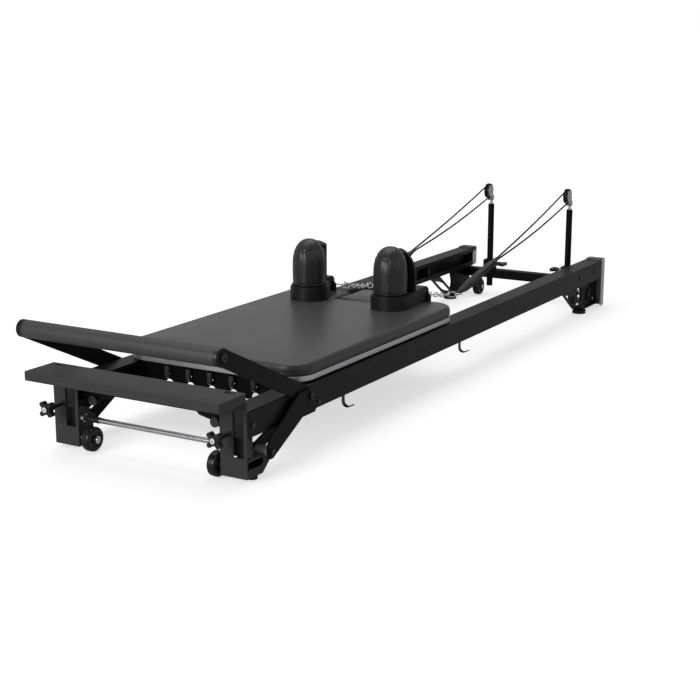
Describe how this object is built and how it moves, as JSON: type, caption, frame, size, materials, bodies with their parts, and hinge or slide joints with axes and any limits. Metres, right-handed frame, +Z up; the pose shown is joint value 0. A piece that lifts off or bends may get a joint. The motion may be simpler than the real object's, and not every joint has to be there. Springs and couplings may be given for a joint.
{
  "type": "pilates reformer",
  "caption": "Low exercise frame: a padded carriage with shoulder rests rolls on side rails against springs, with a fold-down foot bar, standing platform and raised rope pulleys.",
  "frame": {"origin": "bottom centre of the bounding box, on the floor plane", "axes": "+X from the foot bar end to the pulley end, +Y to the left as seen from the foot end, +Z up"},
  "size_m": [2.562, 0.648, 0.4513],
  "materials": {
    "black_anodised": "satin black anodised extrusion",
    "black_coating": "satin black powder coat",
    "grey_coating": "charcoal powder coat",
    "black_plastic": "moulded black plastic",
    "moulded_plastic": "fine-textured charcoal plastic",
    "chrome": "polished",
    "dark_steel": "blackened screws and bolts",
    "spring_steel": "blackened spring steel",
    "rubber": "moulded rubber",
    "roller_tread": "hard polyurethane tread",
    "silver": "satin anodised",
    "bar_tube": "satin dark grey coat",
    "foam_grip": "smooth closed-cell foam sleeve",
    "upholstery": "soft synthetic leather with a fine grain",
    "rope": "braided cord",
    "webbing": "padded webbing"
  },
  "bodies": {
    "frame": {"rails": "black_anodised", "rail_end_caps": "black_plastic", "foot_brackets": "grey_coating", "foot_braces": "black_coating", "tie_rod": "chrome", "standing_platform": "grey_coating", "front_crossbar": "black_coating", "spring_bar": "black_coating", "spring_bar_cradles": "black_coating", "springs": "spring_steel", "rubber_feet": "rubber", "end_plates": "black_coating", "end_trims": "silver", "rear_crossbar": "black_coating", "rear_braces": "grey_coating", "riser_clamps": "black_coating", "frame_bolts": "dark_steel", "accessory_hooks": "dark_steel", "wheel_axles": "chrome", "carriage_stops": "rubber", "footbar_pivot_bolts": "dark_steel", "ropes": "rope", "hand_straps": "webbing", "snap_hooks": "chrome"},
    "footbar": {"footbar_tube": "bar_tube", "footbar_pad": "foam_grip", "footbar_arms": "black_coating", "footbar_end_bolts": "dark_steel"},
    "carriage": {"carriage_plate": "silver", "carriage_underframe": "black_coating", "carriage_pad": "upholstery", "roller_axles": "chrome", "headrest_hinge": "chrome", "shoulder_bases": "moulded_plastic"},
    "headrest": {"headrest_pad": "upholstery", "headrest_board": "black_coating"},
    "headrest_prop": {"headrest_prop": "chrome"},
    "clamp_knob_left": {"clamp_knob_left": "black_plastic"},
    "foot_wheel_left": {"foot_wheel_left": "roller_tread"},
    "head_wheel_left": {"head_wheel_left": "roller_tread"},
    "shoulder_rest_left": {"shoulder_pad_left": "upholstery", "shoulder_shell_left": "moulded_plastic"},
    "riser_left": {"riser_left": "black_coating"},
    "riser_knob_left": {"riser_knob_left": "black_plastic"},
    "pulley_block_left": {"pulley_block_left": "chrome"},
    "pulley_wheel_left": {"pulley_wheel_left": "black_plastic"},
    "roller_foot_left": {"roller_foot_left": "roller_tread"},
    "roller_head_left": {"roller_head_left": "roller_tread"},
    "clamp_knob_right": {"clamp_knob_right": "black_plastic"},
    "foot_wheel_right": {"foot_wheel_right": "roller_tread"},
    "head_wheel_right": {"head_wheel_right": "roller_tread"},
    "shoulder_rest_right": {"shoulder_pad_right": "upholstery", "shoulder_shell_right": "moulded_plastic"},
    "riser_right": {"riser_right": "black_coating"},
    "riser_knob_right": {"riser_knob_right": "black_plastic"},
    "pulley_block_right": {"pulley_block_right": "chrome"},
    "pulley_wheel_right": {"pulley_wheel_right": "black_plastic"},
    "roller_foot_right": {"roller_foot_right": "roller_tread"},
    "roller_head_right": {"roller_head_right": "roller_tread"}
  },
  "joints": [
    {"name": "carriage_slide", "type": "slide", "parent": "frame", "child": "carriage", "axis": [1, 0, 0], "range_m": [0, 0.9], "stiffness_N_per_m": 60, "springref_m": -0.15, "deforming": ["springs", "ropes", "hand_straps", "snap_hooks"]},
    {"name": "footbar_fold", "type": "hinge", "parent": "frame", "child": "footbar", "pos_m": [-0.885, 0, 0.161], "axis": [0, 1, 0], "range_deg": [-20, 60]},
    {"name": "clamp_knob_left_turn", "type": "hinge", "parent": "frame", "child": "clamp_knob_left", "pos_m": [-1.217, 0.28, 0.121], "axis": [1, 0, 0], "continuous": true},
    {"name": "clamp_knob_right_turn", "type": "hinge", "parent": "frame", "child": "clamp_knob_right", "pos_m": [-1.217, -0.252, 0.121], "axis": [1, 0, 0], "continuous": true},
    {"name": "foot_wheel_left_spin", "type": "hinge", "parent": "frame", "child": "foot_wheel_left", "pos_m": [-1.148, 0.192, 0.036], "axis": [0, 1, 0], "continuous": true},
    {"name": "foot_wheel_right_spin", "type": "hinge", "parent": "frame", "child": "foot_wheel_right", "pos_m": [-1.148, -0.208, 0.036], "axis": [0, 1, 0], "continuous": true},
    {"name": "head_wheel_left_spin", "type": "hinge", "parent": "frame", "child": "head_wheel_left", "pos_m": [1.225, 0.203, 0.036], "axis": [0, 1, 0], "continuous": true},
    {"name": "head_wheel_right_spin", "type": "hinge", "parent": "frame", "child": "head_wheel_right", "pos_m": [1.225, -0.203, 0.036], "axis": [0, 1, 0], "continuous": true},
    {"name": "roller_foot_left_roll", "type": "hinge", "parent": "carriage", "child": "roller_foot_left", "pos_m": [-0.823, 0.256, 0.1503], "axis": [0, 1, 0], "continuous": true},
    {"name": "roller_foot_right_roll", "type": "hinge", "parent": "carriage", "child": "roller_foot_right", "pos_m": [-0.823, -0.256, 0.1503], "axis": [0, 1, 0], "continuous": true},
    {"name": "roller_head_left_roll", "type": "hinge", "parent": "carriage", "child": "roller_head_left", "pos_m": [-0.053, 0.256, 0.1503], "axis": [0, 1, 0], "continuous": true},
    {"name": "roller_head_right_roll", "type": "hinge", "parent": "carriage", "child": "roller_head_right", "pos_m": [-0.053, -0.256, 0.1503], "axis": [0, 1, 0], "continuous": true},
    {"name": "headrest_tilt", "type": "hinge", "parent": "carriage", "child": "headrest", "pos_m": [-0.09, 0, 0.2072], "axis": [0, -1, 0], "range_deg": [0, 22]},
    {"name": "headrest_prop_fold", "type": "hinge", "parent": "headrest", "child": "headrest_prop", "pos_m": [-0.04, 0, 0.2072], "axis": [0, 1, 0], "range_deg": [0, 44]},
    {"name": "shoulder_rest_left_lift", "type": "slide", "parent": "carriage", "child": "shoulder_rest_left", "axis": [0, 0, 1], "range_m": [0, 0.06]},
    {"name": "shoulder_rest_right_lift", "type": "slide", "parent": "carriage", "child": "shoulder_rest_right", "axis": [0, 0, 1], "range_m": [0, 0.06]},
    {"name": "riser_left_height", "type": "slide", "parent": "frame", "child": "riser_left", "axis": [0, 0, 1], "range_m": [-0.02, 0.06]},
    {"name": "riser_knob_left_turn", "type": "hinge", "parent": "frame", "child": "riser_knob_left", "pos_m": [1.247, 0.107, 0.13], "axis": [0, 1, 0], "continuous": true},
    {"name": "pulley_block_left_swivel", "type": "hinge", "parent": "riser_left", "child": "pulley_block_left", "pos_m": [1.247, 0.165, 0.38], "axis": [0, 0, 1], "range_deg": [-30, 30]},
    {"name": "pulley_wheel_left_spin", "type": "hinge", "parent": "pulley_block_left", "child": "pulley_wheel_left", "pos_m": [1.221, 0.165, 0.423], "axis": [0, 1, 0], "continuous": true},
    {"name": "riser_right_height", "type": "slide", "parent": "frame", "child": "riser_right", "axis": [0, 0, 1], "range_m": [-0.02, 0.06]},
    {"name": "riser_knob_right_turn", "type": "hinge", "parent": "frame", "child": "riser_knob_right", "pos_m": [1.247, -0.107, 0.13], "axis": [0, 1, 0], "continuous": true},
    {"name": "pulley_block_right_swivel", "type": "hinge", "parent": "riser_right", "child": "pulley_block_right", "pos_m": [1.247, -0.165, 0.38], "axis": [0, 0, 1], "range_deg": [-30, 30]},
    {"name": "pulley_wheel_right_spin", "type": "hinge", "parent": "pulley_block_right", "child": "pulley_wheel_right", "pos_m": [1.221, -0.165, 0.423], "axis": [0, 1, 0], "continuous": true}
  ],
  "couplings": [
    {"joint": "roller_foot_left_roll", "follows": "carriage_slide", "rad_per_m": 50},
    {"joint": "roller_foot_right_roll", "follows": "carriage_slide", "rad_per_m": 50},
    {"joint": "roller_head_left_roll", "follows": "carriage_slide", "rad_per_m": 50},
    {"joint": "roller_head_right_roll", "follows": "carriage_slide", "rad_per_m": 50},
    {"joint": "headrest_prop_fold", "follows": "headrest_tilt", "ratio": 2}
  ]
}
